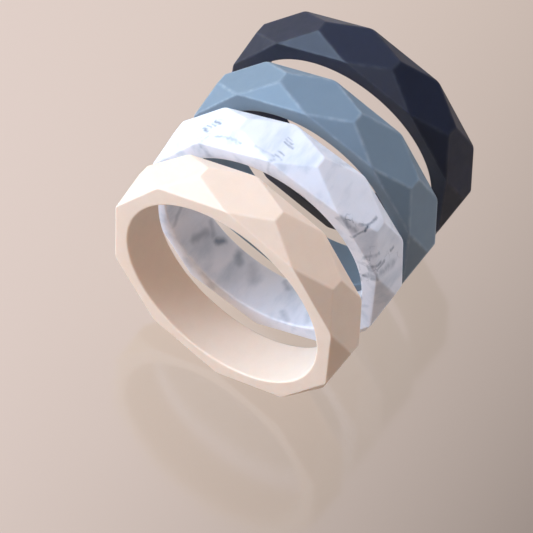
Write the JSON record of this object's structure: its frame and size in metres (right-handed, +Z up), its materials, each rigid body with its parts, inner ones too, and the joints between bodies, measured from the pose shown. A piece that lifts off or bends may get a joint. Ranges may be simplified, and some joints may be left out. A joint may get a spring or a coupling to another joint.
{
  "type": "stacking ring toy",
  "caption": "Loose row of faceted silicone rings standing on edge, in beige, white marble, blue-grey and navy, each a separate moulding with a round bore.",
  "frame": {"origin": "bottom centre of the row, on the surface that the rings stand on", "axes": "+Y along the row through the bores, from the beige ring to the navy one; +X across the row; +Z up"},
  "size_m": [0.0825, 0.0784, 0.0761],
  "materials": {
    "beige_silicone": "matte moulded silicone, warm beige",
    "marble_silicone": "satin moulded silicone, white swirled with grey-blue veins",
    "blue_silicone": "matte moulded silicone, blue-grey",
    "navy_silicone": "matte moulded silicone, near-black navy"
  },
  "bodies": {
    "beige_ring": {"beige_ring": "beige_silicone"},
    "marble_ring": {"marble_ring": "marble_silicone"},
    "blue_ring": {"blue_ring": "blue_silicone"},
    "navy_ring": {"navy_ring": "navy_silicone"}
  },
  "joints": [
    {"name": "marble_lift", "type": "slide", "parent": "beige_ring", "child": "marble_ring", "axis": [0, 0, 1], "range_m": [0, 0.1]},
    {"name": "blue_lift", "type": "slide", "parent": "beige_ring", "child": "blue_ring", "axis": [0, 0, 1], "range_m": [0, 0.1]},
    {"name": "navy_lift", "type": "slide", "parent": "beige_ring", "child": "navy_ring", "axis": [0, 0, 1], "range_m": [0, 0.1]}
  ]
}
